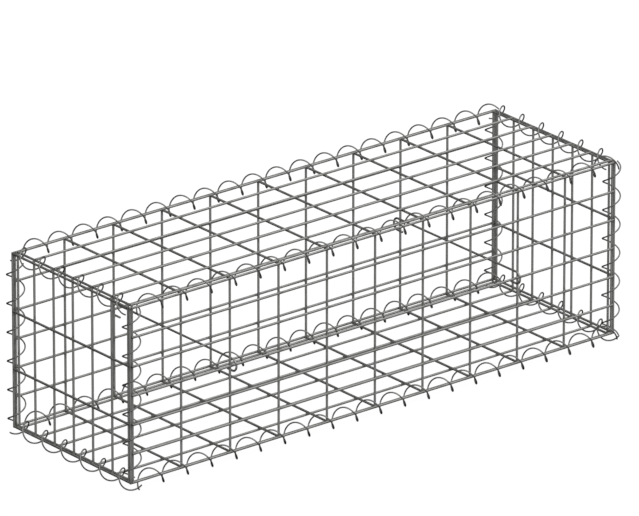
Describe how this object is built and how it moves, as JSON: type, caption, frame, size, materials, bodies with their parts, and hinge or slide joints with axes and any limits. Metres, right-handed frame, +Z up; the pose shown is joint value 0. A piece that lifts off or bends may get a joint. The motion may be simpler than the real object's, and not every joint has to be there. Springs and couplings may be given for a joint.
{
  "type": "gabion basket",
  "caption": "Empty wire gabion: a long box of welded mesh panels laced with spiral binders, with hooked spacer wires across it",
  "frame": {"origin": "on the ground, at the bottom centre of the basket, under the lowest turns of its bottom spirals", "axes": "+X along the basket's length, +Y to its back, +Z up"},
  "size_m": [1.0312, 0.3312, 0.3313],
  "materials": {
    "mesh_wire": "galvanised, dull grey with bright tops",
    "spiral_wire": "galvanised, slightly brighter drawn wire",
    "spacer_wire": "galvanised, dull grey"
  },
  "bodies": {
    "root": {"front_panel": "mesh_wire", "back_panel": "mesh_wire", "left_end_panel": "mesh_wire", "right_end_panel": "mesh_wire", "base_panel": "mesh_wire", "lid_panel": "mesh_wire", "spiral_top_front": "spiral_wire", "spiral_top_back": "spiral_wire", "spiral_bottom_front": "spiral_wire", "spiral_bottom_back": "spiral_wire", "spiral_left_front": "spiral_wire", "spiral_left_back": "spiral_wire", "spiral_right_front": "spiral_wire", "spiral_right_back": "spiral_wire", "spiral_top_left": "spiral_wire", "spiral_top_right": "spiral_wire", "spiral_bottom_left": "spiral_wire", "spiral_bottom_right": "spiral_wire", "spacer_left": "spacer_wire", "spacer_right": "spacer_wire"}
  },
  "joints": []
}
